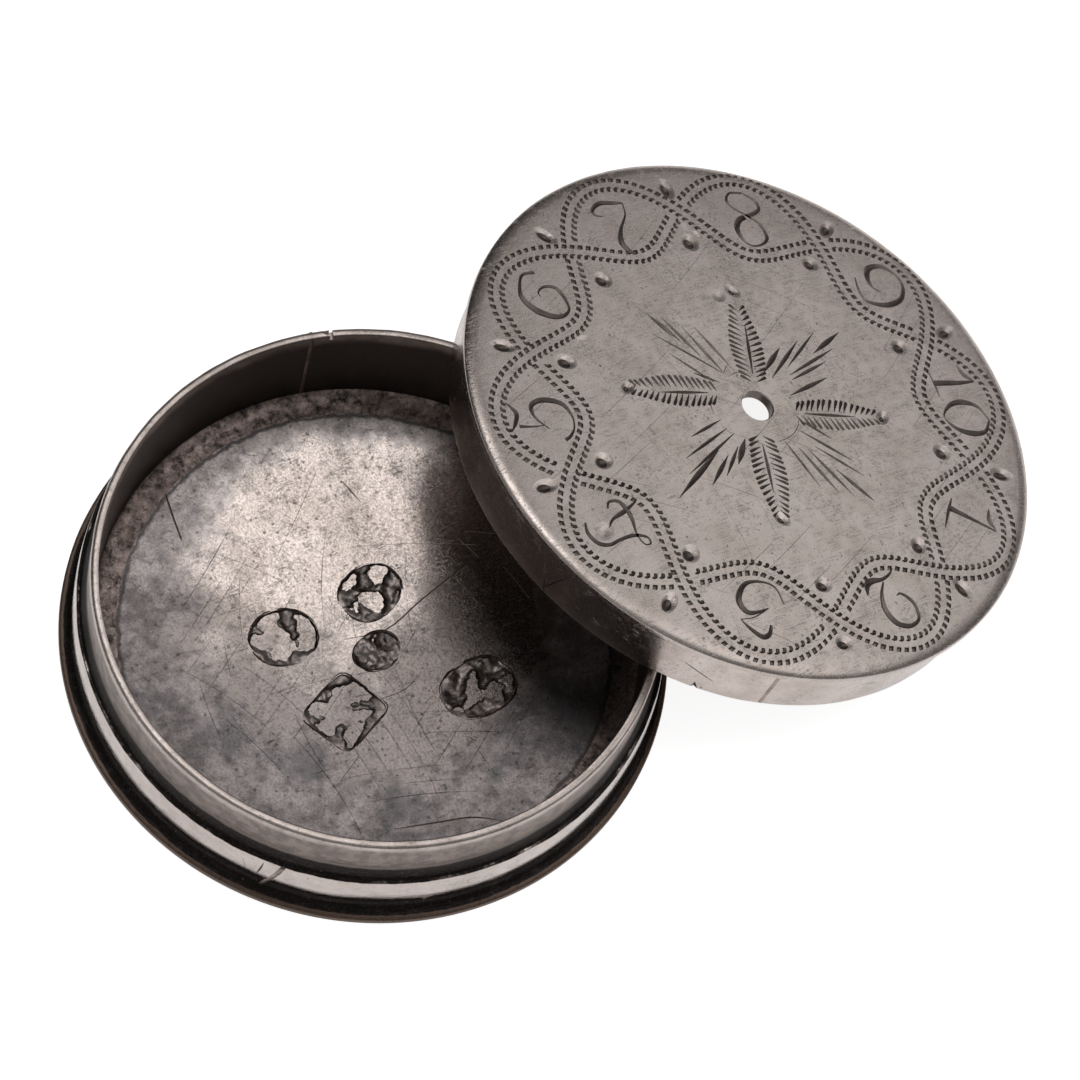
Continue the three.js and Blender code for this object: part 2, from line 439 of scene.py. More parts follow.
# Each dark patch of tarnish on the floor: its middle across and up, and its half width.
TARNISHED = (
    (-12.5, -2.5, 2.6), (-8.5, -6.5, 2.0), (-4.0, -13.5, 2.4),
    (5.0, -12.0, 2.6), (-15.5, 2.0, 1.8), (10.5, -11.5, 4.2),
)
# Colour, roughness and metal of two sorts of dirt: black in the hollows, and coppery brown on the foot's lip.
BLACK_DIRT = ((0.016, 0.013, 0.012, 1), 0.4, 1.0)
FOOT_LIP = ((0.15, 0.105, 0.082, 1), 0.45, 1.0)
LIP_EDGE = (21.46, 21.36)
WALL_EDGE = (20.0, 20.2)
SOLDER_EDGE = 17.6
# The middle of a painted pool of light on the floor; the film is left off round it.
LIT_POOL_MIDDLE = (1.5, 9.5)
TARNISH_MIDDLE = (1.5, 2.5)


def floor_dirt(place, apart):
    """Clean metal round a painted pool of light, darker film away from it as painted shade; a blue-grey ring
    of tarnish, painted lighter on its far side; dark patches, black under the foot.
    """
    # Painted light: clean round the lit middle, and darker film further out as painted shade.
    away_from_lit_pool = wandering(away_from(place, *LIT_POOL_MIDDLE), place, 4.0, 14.0)
    layers = [(ramp(away_from_lit_pool, 5.5, 14.5, 0.0, 0.85), (0.21, 0.18, 0.17, 1), 0.3, 1.0)]
    outer = wandering(away_from(place, *TARNISH_MIDDLE), place, 5.0, 9.0)
    outer = wandering(outer, place, 1.1, 5.0)
    mottled = ramp(uneven(place, 1.6, 1.0), -0.15, 0.15)
    # The ring's tone runs from darker on the near side to much lighter on the far side: painted light over
    # its tarnish.
    near_tone = mixed(mottled, (0.4, 0.35, 0.345, 1), (0.17, 0.15, 0.15, 1))
    far_lit_tone = mixed(mottled, (0.88, 0.8, 0.78, 1), (0.46, 0.415, 0.41, 1))
    tone = mixed(ramp(apart[1], 8.0, 14.0), near_tone, far_lit_tone)
    ring = times(ramp(outer, 11.8, 15.2), 0.85)
    layers.append((ring, tone, ramp(apart[1], 8.0, 14.0, 0.42, 0.6), 0.85))
    for across, up, half_width in TARNISHED:
        edge = wandering(away_from(place, across, up), place, 2.2, 9.0)
        edge = wandering(edge, place, 0.7, 3.0)
        patch = ramp(edge, half_width * 1.4, half_width * 0.1, 0.0, 0.7)
        layers.append((patch, (0.08, 0.077, 0.082, 1), 0.3, 1.0))
    reach = from_axis(apart)
    corner = maths("ABSOLUTE", minus(wandering(reach, place, 1.0, 0.8), SOLDER_EDGE))
    layers.append((ramp(corner, 0.3, 0.05, 0.0, 0.8), (0.05, 0.043, 0.04, 1), 0.45, 1.0))
    outside = ramp(reach, *WALL_EDGE)
    under_wall = times(outside, ramp(wandering(reach, place, 1.2, 0.3), *LIP_EDGE))
    return [*layers, (outside, *FOOT_LIP), (under_wall, *BLACK_DIRT)]


FLOOR_DISH = 0.22
DISH_START = 14.0
DISH_WIDTH = 4.2
DISH_END = 18.7


def dish(radius):
    """How far the floor turns up towards the wall; under the wall itself it lies flat again."""
    share = min(1.0, max(0.0, (radius - DISH_START) / DISH_WIDTH))
    return FLOOR_DISH * share * share * (3 - 2 * share) if radius < DISH_END else 0.0


LIP_START = 20.9
floor_line = [(ring * 0.6, FLOOR_THICKNESS) for ring in range(35)]
lip_corners = [(FLOOR_RADIUS, FLOOR_THICKNESS, 0.2), (FLOOR_RADIUS, 0, 0.12)]
floor_line += eased([(LIP_START, FLOOR_THICKNESS, 0), *lip_corners, (LIP_START, 0, 0)])
floor_line += [(ring * 1.9, 0) for ring in range(10, -1, -1)]
base_floor = turned(floor_line, closed=False)

# Each worn punch: its middle across and up, half length, half width, turn, how square its outline was
# (2 is round), and how much of its field still stands in the middle.
WORN_PUNCHES = (
    (1.9, 2.9, 2.4, 2.0, 0.35, 2.3, 0.07),
    (-5.4, 2.4, 2.5, 2.2, -0.2, 2.0, 0.13),
    (0.1, -1.4, 1.8, 1.45, 0.2, 2.0, -0.03),
    (-4.2, -4.6, 2.45, 2.2, 0.42, 9.0, 0.11),
    (5.3, -7.0, 2.8, 2.15, 0.1, 2.4, 0.03),
)


def squarish(turn, squareness):
    """How far out an outline runs at a turn: a circle where squareness is 2, nearer a square above."""
    return (abs(math.cos(turn)) ** squareness + abs(math.sin(turn)) ** squareness) ** (-1 / squareness)


RELIEF = 0.34
SMALL_RELIEF = 0.06
PUNCH_DEPTH = 2.4
SOFT_FLOOR = -0.12


def punch_field(half_length, half_width, squareness, standing, seed):
    """The sunk field of a worn punch: uneven, and level with the sheet where it has worn."""
    steps = [(ring / 20, -0.1) for ring in range(20)]
    field = turned([*steps, (0.98, -0.1), (1.0, 0.2), (0, 0.2)], closed=False, steps=90)
    for vert in field.verts:
        across, up, height = vert.co
        reach = math.hypot(across, up)
        grown = squarish(math.atan2(up, across), squareness)
        grown *= 1 + 0.05 * noise.noise((across * 2, up * 2, seed))
        vert.co.x = across * grown * half_length
        vert.co.y = up * grown * half_width
        if height < 0:
            relief = noise.noise((vert.co.x * 0.75, vert.co.y * 0.75, seed)) * RELIEF
            small = noise.noise((vert.co.x * 3, vert.co.y * 3, seed)) * SMALL_RELIEF
            bottom = -0.09 + standing * (1 - reach**4) * 1.4 + relief * (1 - reach**6) + small
            bottom *= PUNCH_DEPTH
            if bottom <= SOFT_FLOOR:
                bottom = SOFT_FLOOR + (bottom - SOFT_FLOOR) * 0.4
            vert.co.z = min(0.05, bottom)
    return field


punched = bmesh.new()
outlines = bmesh.new()
OUTLINE_RUNS = ((0.0, 2.3), (2.5, 3.9), (4.2, 5.9))
random.seed(12)
for seed, (across, up, half_length, half_width, turn, squareness, standing) in enumerate(WORN_PUNCHES):
    place = Matrix.Translation((across, up, 0)) @ Matrix.Rotation(turn, 4, "Z")
    add_to(punched, punch_field(half_length, half_width, squareness, standing, seed * 7.3 + 2), place)
    start = random.uniform(0, math.tau)
    for first, last in OUTLINE_RUNS:
        outline = []
        for step in range(19):
            angle = start + first + (last - first) * step / 18
            reach = squarish(angle, squareness) * (1.01 + random.uniform(-0.012, 0.012))
            width = 0.04 + 0.2 * abs(math.sin(1.3 * angle + seed)) * random.uniform(0.7, 1.0)
            width *= math.sin(math.pi * (step + 1) / 20) ** 0.5
            spot = (half_length * reach * math.cos(angle), half_width * reach * math.sin(angle))
            outline.append((*spot, width))
        stroke(outlines, outline, 0.6, turn, (across, up))

# The knife marks on the floor, as points across, up and wide.
knife_marks = graver_work(
    (
        [(-7.5, 17.3, 0.05), (-8.0, 15.0, 0.16), (-8.4, 12.3, 0.1)],
        [(-5.3, -14.0, 0.05), (-2.6, -14.8, 0.14), (0.0, -15.6, 0.14), (1.8, -16.8, 0.06)],
        [(-1.6, 0.4, 0.04), (1.5, -0.2, 0.1), (5.0, 0.8, 0.12), (9.6, 2.0, 0.05)],
        [(4.3, 11.6, 0.04), (4.5, 10.6, 0.12), (4.7, 9.6, 0.04)],
        [(-1.9, -4.8, 0.03), (0.4, -4.9, 0.08), (2.2, -4.2, 0.03)],
    )
)


def hair_scratches(heading, bend, gap, reach):
    """A set of hair-thin scratches that all run about one way, side by side, none crossing another."""
    hairs = bmesh.new()
    offset = -reach * 0.9
    while offset < reach * 0.9:
        limit = math.sqrt(reach**2 - offset**2)
        half = min(limit, random.uniform(0.8, 4.5))
        middle = random.uniform(half - limit, limit - half)
        width = random.uniform(0.03, 0.05)
        path = []
        for step in range(9):
            run = middle + half * (step / 4 - 1)
            path.append((run, offset + bend * run * run, width * math.sin(math.pi * (step + 0.6) / 9.2)))
        stroke(hairs, path, turn=heading)
        offset += gap * random.uniform(0.6, 1.4)
    return hairs


# Each set of the floor's hair scratches: which way they run, their bend and the gap between them.
FLOOR_HAIRS = ((0.62, 0.006, 1.1), (-0.3, -0.012, 1.4), (1.9, 0.02, 1.3), (1.25, -0.02, 1.7))
HAIR_REACH = 14.0
hairs = [hair_scratches(heading, bend, gap, HAIR_REACH) for heading, bend, gap in FLOOR_HAIRS]
for marks in (punched, outlines, knife_marks, *hairs):
    marks.transform(Matrix.Translation((0, 0, FLOOR_THICKNESS)))
base_floor = cut_away(base_floor, punched)
base_floor = cut_away(base_floor, *hairs, finish=0)
base_floor = cut_away(base_floor, knife_marks, finish=2)
base_floor = cut_away(base_floor, outlines, finish=3)
for vert in base_floor.verts:
    if vert.co.z > FLOOR_THICKNESS / 2:
        vert.co.z += dish(math.hypot(vert.co.x, vert.co.y))
waved(base_floor, FLOOR_WAVE, 3.2, (3, 5, 1), lambda spot: 1.0 if spot.z > 0.2 else 0.0)
floor_silver = silver(
    "floor_silver", clean=(0.62, 0.54, 0.5), film=(0.47, 0.39, 0.345), dark=(0.045, 0.04, 0.038),
    film_share=0.7, patch_size=0.13, smooth=0.15, dull=0.28, scratches=0.3, scratch_size=1.4,
    pit_size=0.3, specks=0.8, mottling=0.6, dirt=floor_dirt,
)
punched_silver = silver(
    "punched_silver", clean=(0.22, 0.187, 0.172), film=(0.12, 0.1, 0.091), film_share=0.8,
    dark_share=0.5, patch_size=0.9, smooth=0.26, dull=0.4,
)
cut_look = {"film_share": 0.6, "patch_size": 0.9}
scratched_silver = silver("scratched_silver", (0.34, 0.29, 0.265), smooth=0.3, **cut_look)
blackened_silver = silver("blackened_silver", (0.1, 0.083, 0.075), smooth=0.35, **cut_look)
floor_finishes = [floor_silver, punched_silver, scratched_silver, blackened_silver]
put_in_place(base_floor, "base_floor_sheet", "base_floor", "base", floor_finishes)

# Base collar: a strip of silver bent round, its ends soldered upright, that the lid slides over.
# Its top edge is rubbed round and has one small nick, and its inside is coloured darker below the rim.
COLLAR_INNER = 19.5
COLLAR_OUTER = 20.12
COLLAR_TOP = 9.4
NICK_ANGLE = math.radians(72.2)
collar_line = [(COLLAR_INNER, FLOOR_THICKNESS, 0)]
collar_line += [(COLLAR_OUTER, height, 0) for height in (FLOOR_THICKNESS, 6.0, 7.2, 8.3)]
collar_line += [(COLLAR_OUTER, COLLAR_TOP, 0.3), (COLLAR_INNER, COLLAR_TOP, 0.12)]
collar_line += [(COLLAR_INNER, height, 0) for height in (8.0, 6.0, 3.0)]
base_collar = turned(eased(collar_line))
nick = bmesh.new()
bmesh.ops.create_cone(nick, cap_ends=True, segments=3, radius1=0.5, radius2=0.5, depth=1.4)
nick.transform(Matrix.Rotation(NICK_ANGLE, 4, "Z") @ Matrix.Translation((19.8, 0, COLLAR_TOP + 0.18)))
base_collar = cut_away(base_collar, nick, finish=0)
waved(base_collar, 0.035, 2.2, (1, 8, 2), lambda spot: 1.0 if spot.z > 1 else 0.0)
waved(base_collar, 0.02, 0.9, (5, 3, 2), lambda spot: 1.0 if spot.z > 8.6 else 0.0)


def collar_dirt(place, apart):
    """Darker inside from just below the rim, brown film where it is handled, black dirt low outside."""
    reach = from_axis(apart)
    middle = (COLLAR_INNER + COLLAR_OUTER) / 2
    low_down = ramp(wandering(apart[2], place, 3.0, 1.5), 9.2, 7.9, 0.0, 0.95)
    inside = times(ramp(reach, middle, middle - 0.15), low_down)
    outer = ramp(reach, middle, middle + 0.25)
    outside = times(outer, ramp(wandering(apart[2], place, 1.2, 0.5), 6.05, 5.75))
    handled = times(outer, ramp(wandering(apart[2], place, 2.0, 0.8), 9.15, 8.5, 0.0, 0.9))
    blotches = ramp(uneven(place, 0.9, 1.0), -0.12, 0.12)
    tone = mixed(blotches, (0.31, 0.25, 0.22, 1), (0.17, 0.137, 0.122, 1))
    return [(inside, (0.07, 0.056, 0.05, 1), 0.4, 1.0), (handled, tone, 0.48, 1.0), (outside, *BLACK_DIRT)]


collar_silver = silver(
    "collar_silver", clean=(0.54, 0.47, 0.435), film=(0.4, 0.335, 0.3), film_share=0.7,
    patch_size=0.45, smooth=0.3, scratches=0.6, specks=0.6, mottling=0.3, wall_radius=COLLAR_OUTER,
    dirt=collar_dirt,
)
put_in_place(base_collar, "base_collar_wall", "base_collar", "base", [collar_silver])

# Collar joint: the upright run of silver solder that closes the collar.
# It stands as a thin dull line on both faces of the strip.
SEAM_WIDTH = 0.3


def seam_strip(inner, outer, low, high, degrees, slant=0.0):
    """A narrow filled joint through a wall, standing at one place round it."""
    strip = bmesh.new()
    bmesh.ops.create_cube(strip, size=1.0)
    bmesh.ops.bevel(
        strip, geom=strip.edges[:], offset=0.06, segments=2, profile=0.5, affect="EDGES", material=-1
    )
    size = Matrix.Diagonal((outer - inner, SEAM_WIDTH, high - low, 1))
    middle = Matrix.Translation(((inner + outer) / 2, 0, (low + high) / 2))
    turn = Matrix.Rotation(math.radians(degrees), 4, "Z")
    strip.transform(turn @ middle @ Matrix.Rotation(slant, 4, "X") @ size)
    return strip


solder_silver = silver(
    "silver_solder", clean=(0.42, 0.34, 0.31), film=(0.27, 0.2, 0.175), film_share=0.9, dark_share=0.4,
    patch_size=0.4, smooth=0.36, dull=0.5, scratches=0.2,
)
collar_joint = seam_strip(COLLAR_INNER - 0.02, COLLAR_OUTER + 0.02, FLOOR_THICKNESS, COLLAR_TOP - 0.08, 76)
put_in_place(collar_joint, "collar_joint_solder", "collar_seam_solder", "base", [solder_silver])

# Foot moulding: a drawn wire of shaped section, bent round the collar and soldered, with a hollow above
# and below a flat bead. The bead's edges are dented, and its slanting joint shows at the front.
MOULDING_TOP = 6.2
BEAD_TOP = 4.86
BEAD_BOTTOM = 2.07
BEAD_TOP_RADIUS = 20.78
BEAD_BOTTOM_RADIUS = 20.9
BEAD_SWELL = 0.14
MOULDING_FOOT = 21.52
KNOCKED_FROM = 20.5


def hollow(start, pull, end, steps=8):
    """A hollow run of an outline, drawn towards the pull point."""
    start, pull, end = Vector(start), Vector(pull), Vector(end)
    shares = [step / steps for step in range(steps + 1)]
    return [start.lerp(pull, share).lerp(pull.lerp(end, share), share) for share in shares]


moulding_line = [(COLLAR_OUTER, FLOOR_THICKNESS)]
moulding_line += hollow(
    (MOULDING_FOOT, FLOOR_THICKNESS),
    (BEAD_BOTTOM_RADIUS - 0.45, FLOOR_THICKNESS + 0.1),
    (BEAD_BOTTOM_RADIUS - 0.3, BEAD_BOTTOM - 0.12),
)
moulding_line += [(BEAD_BOTTOM_RADIUS - 0.08, BEAD_BOTTOM - 0.05)]
moulding_line += hollow(
    (BEAD_BOTTOM_RADIUS, BEAD_BOTTOM + 0.08),
    (BEAD_BOTTOM_RADIUS + BEAD_SWELL, (BEAD_TOP + BEAD_BOTTOM) / 2),
    (BEAD_TOP_RADIUS, BEAD_TOP - 0.05),
    10,
)
moulding_line += [(BEAD_TOP_RADIUS - 0.08, BEAD_TOP)]
moulding_line += hollow(
    (BEAD_TOP_RADIUS - 0.16, BEAD_TOP), (COLLAR_OUTER + 0.08, BEAD_TOP + 0.1), (COLLAR_OUTER, MOULDING_TOP)
)
foot_moulding = turned(moulding_line, steps=240)


def wrapped(cutters, radius):
    """Bends cutters laid out flat, along and up, round an upright wall of that radius."""
    for vert in cutters.verts:
        angle = vert.co.x / radius
        reach = radius + vert.co.z
        vert.co = (reach * math.cos(angle), reach * math.sin(angle), vert.co.y)
    return cutters


# Cuts beside the wire's joint, as points along, up and wide.
joint_cuts = graver_work(
    (
        [(-49.3, 5.6, 0.5), (-50.0, 3.6, 0.42), (-50.9, 0.9, 0.3)],
        [(-51.0, 4.7, 0.2), (-51.15, 3.6, 0.2), (-51.35, 2.5, 0.05)],
        [(-52.9, 5.0, 0.05), (-52.5, 3.9, 0.1), (-52.2, 3.0, 0.05)],
    ),
    0.7,
)
foot_moulding = cut_away(foot_moulding, wrapped(joint_cuts, BEAD_BOTTOM_RADIUS + 0.06))


def outside_wall(spot):
    """Whether a point is on the outside of the moulding, where knocks reach it."""
    return spot.x**2 + spot.y**2 >= KNOCKED_FROM**2


def bead_edges(spot):
    """The edges of the bead are knocked more than its flat."""
    if not outside_wall(spot):
        return 0.0
    return 2.0 if min(abs(spot.z - BEAD_TOP), abs(spot.z - BEAD_BOTTOM)) < 0.3 else 0.6


waved(foot_moulding, 0.035, 2.6, (2, 6, 9), bead_edges)
waved(foot_moulding, 0.05, 5.0, (8, 1, 3), lambda spot: 1.0 if outside_wall(spot) else 0.0)


def moulding_dirt(place, apart):
    """Black dirt that polishing never reaches, in the two hollows."""
    height = wandering(apart[2], place, 1.5, 0.35)
    above = ramp(height, BEAD_TOP - 0.1, BEAD_TOP)
    upper = times(above, ramp(height, 6.0, 5.75))
    below = ramp(height, BEAD_BOTTOM + 0.1, BEAD_BOTTOM)
    reach = wandering(from_axis(apart), place, 1.2, 0.3)
    lower = times(below, ramp(reach, *LIP_EDGE))
    hollows = maths("MAXIMUM", upper, lower)
    return [(above, (0.19, 0.155, 0.14, 1), 0.4, 1.0), (below, *FOOT_LIP), (hollows, *BLACK_DIRT)]


wire_silver = silver(
    "moulding_silver", clean=(0.58, 0.51, 0.48), film_share=0.3, dark_share=0.15, patch_size=0.4,
    smooth=0.16, dull=0.3, specks=0.3, dent=0.004, wall_radius=BEAD_BOTTOM_RADIUS, dirt=moulding_dirt,
)
wire_finishes = [wire_silver, solder_silver]
put_in_place(foot_moulding, "foot_moulding_wire", "foot_moulding", "base", wire_finishes)

# Moulding joint: the wire's two ends meet on a slant and are soldered.
# A short dull line crosses the bead where they meet.
JOINT_SLANT = math.radians(-19)
joint_span = (COLLAR_OUTER + 0.1, BEAD_BOTTOM_RADIUS + 0.03, FLOOR_THICKNESS + 0.2, BEAD_TOP)
moulding_joint = seam_strip(*joint_span, -137.5, JOINT_SLANT)
put_in_place(
    moulding_joint, "moulding_joint_solder", "moulding_seam_solder", "base", [solder_silver]
)

# Floor solder: silver solder run round the inside corner, where the collar stands on the floor.
# It is pinker than the sheet, and its inner edge wanders.
SOLDER_INNER = 17.75
floor_solder_line = [(SOLDER_INNER, FLOOR_THICKNESS + 0.1), (COLLAR_INNER + 0.05, FLOOR_THICKNESS - 0.05)]
floor_solder_line += hollow(
    (COLLAR_INNER + 0.05, 1.35), (19.1, 0.92), (SOLDER_INNER, FLOOR_THICKNESS + dish(SOLDER_INNER) + 0.02)
)
floor_solder = turned(floor_solder_line)
waved(
    floor_solder, 0.06, 1.4, (4, 4, 4), lambda spot: 1.0 if spot.z > 0.75 and spot.xy.length < 19.3 else 0.0
)
dirty_solder = silver(
    "dirty_solder", clean=(0.42, 0.33, 0.3), film=(0.2, 0.15, 0.132), dark=(0.03, 0.026, 0.024),
    film_share=0.95, dark_share=0.55, patch_size=0.5, smooth=0.36, dull=0.5, scratches=0.2, specks=0.9,
    mottling=0.6, dent=0.014,
)
put_in_place(floor_solder, "floor_solder_run", "floor_solder_fillet", "base", [dirty_solder])

# Lid plate: a disc of silver sheet, 44 mm across, raised a little in the middle, with a hole for a pivot.
# Its face is cut by hand: a plaited ring of ten cells with plain numbers, and a star of leaves and rays.
LID_RADIUS = 22.0
LID_THICKNESS = 0.75
LID_DOME = 0.87
LID_LAND = 4.0
PIVOT_HOLE = 1.2
seat = next(mount for mount in frame["record"]["mounts"] if mount["name"] == "pointer_seat")
lid_axis = Vector(seat["axis"])
lean = math.atan2(lid_axis.x, lid_axis.z)


def dome(radius):
    """How far the plate's face stands above its edge at a distance from the middle."""
    return LID_DOME * (1 - (max(radius, LID_LAND) / LID_RADIUS) ** 2)


lid_middle = Vector(seat["pos_m"]) / MM
lid_middle.y = 0
lid_middle -= lid_axis * dome(0)
lid_place = Matrix.Translation(lid_middle) @ Matrix.Rotation(lean, 4, "Y")

plate_line = [(PIVOT_HOLE, -LID_THICKNESS), (PIVOT_HOLE, -0.08), (PIVOT_HOLE + 0.08, 0)]
plate_line += [(PIVOT_HOLE + 0.08 + ring * 0.79, 0) for ring in range(1, 26)]
plate_line += [(21.2, -0.012), (21.38, -0.032), (21.54, -0.062), (21.69, -0.1), (21.82, -0.15)]
edge_corners = [(21.82, -0.15, 0), (LID_RADIUS, -0.25, 0.1), (LID_RADIUS, -LID_THICKNESS, 0.1)]
plate_line += eased([*edge_corners, (21.4, -LID_THICKNESS, 0)])[1:]
plate_line += [(21.4 - ring * 1.8, -LID_THICKNESS) for ring in range(1, 11)]
lid_plate = turned(plate_line)

# Each cell: its number, the angle of its middle, and how far out and in the plait's centre line swings there.
CELLS = (
    (7, 94.5, 20.85, 14.15),
    (8, 59.0, 21.12, 13.92),
    (9, 21.5, 20.95, 14.42),
    (10, -12.5, 20.7, 14.05),
    (1, -51.0, 20.92, 14.05),
    (2, -84.0, 20.72, 14.27),
    (3, -121.8, 20.92, 13.95),
    (4, -161.0, 20.6, 13.7),
    (5, -193.5, 20.45, 13.88),
    (6, -229.5, 20.55, 13.98),
)
ROW_OFFSET = 0.44
SQUARE_PITCH = 0.62
HOOK_PITCH = 0.56
CROSSING_GAP = 0.85


def strand(first_out):
    """Centre line of one plait strand as (x, y, under) points, swung out and in by turns."""
    points = []
    for index, (_, angle, out, inward) in enumerate(CELLS):
        _, next_angle, next_out, next_inward = CELLS[(index + 1) % len(CELLS)]
        if index == len(CELLS) - 1:
            next_angle -= 360
        leaving = (index % 2 == 0) == first_out
        start, end = (out, next_inward) if leaving else (inward, next_out)
        for step in range(40):
            share = step / 40
            radius = (start + end) / 2 + (start - end) / 2 * math.cos(math.pi * share)
            turn = math.radians(angle + (next_angle - angle) * share)
            points.append((radius * math.cos(turn), radius * math.sin(turn), not leaving))
    return points


def walk(points, offset, pitch, over):
    """Places and headings at even steps along a row beside a strand, where it isn't under the other."""
    row = []
    count = len(points)
    for index in range(count + 1):
        (x, y, under), ahead, behind = points[index % count], points[(index + 1) % count], points[index - 1]
        heading = math.atan2(ahead[1] - behind[1], ahead[0] - behind[0])
        row.append((x - offset * math.sin(heading), y + offset * math.cos(heading), heading, under))
    total = sum(math.dist(a[:2], b[:2]) for a, b in zip(row, row[1:]))
    pitch = total / round(total / pitch)
    gone, wanted, steps = 0.0, 0.0, []
    for a, b in zip(row, row[1:]):
        length = math.dist(a[:2], b[:2])
        while wanted < gone + length - 1e-6:
            share = (wanted - gone) / length
            spot = (a[0] + (b[0] - a[0]) * share, a[1] + (b[1] - a[1]) * share)
            if not a[3] or min(math.dist(spot, point) for point in over) >= CROSSING_GAP:
                steps.append((spot, a[2]))
            wanted += pitch
        gone += length
    return steps


def square_dash(size):
    """The tip of the square graver, pushed in a little aslant: a small four-sided pit."""
    pit = bmesh.new()
    bmesh.ops.create_cone(pit, cap_ends=True, segments=4, radius1=0.17, radius2=0.45, depth=0.24)
    aslant = Matrix.Identity(4)
    aslant[0][1] = 0.25
    squared_up = Matrix.Rotation(math.radians(45), 4, "Z")
    pit.transform(aslant @ Matrix.Diagonal((0.86 * size, 0.9 * size, 1, 1)) @ squared_up)
    return pit


HOOK = ((-0.08, -0.21, 0.24), (-0.06, -0.06, 0.31), (-0.02, 0.07, 0.31), (0.1, 0.15, 0.22), (0.27, 0.15, 0.1))
engraved_rows = bmesh.new()
hooked_rows = bmesh.new()
random.seed(5)
for first_out in (True, False):
    centre_line = strand(first_out)
    over = [point[:2] for point in strand(not first_out) if not point[2]]
    for spot, heading in walk(centre_line, ROW_OFFSET, SQUARE_PITCH, over):
        turn = Matrix.Rotation(heading + random.uniform(-0.12, 0.12), 4, "Z")
        size = random.uniform(0.92, 1.08)
        add_to(engraved_rows, square_dash(size), Matrix.Translation((*spot, 0.0)) @ turn)
    for spot, heading in walk(centre_line, -ROW_OFFSET, HOOK_PITCH, over):
        stroke(hooked_rows, HOOK, 0.4, heading + random.uniform(-0.1, 0.1), spot)

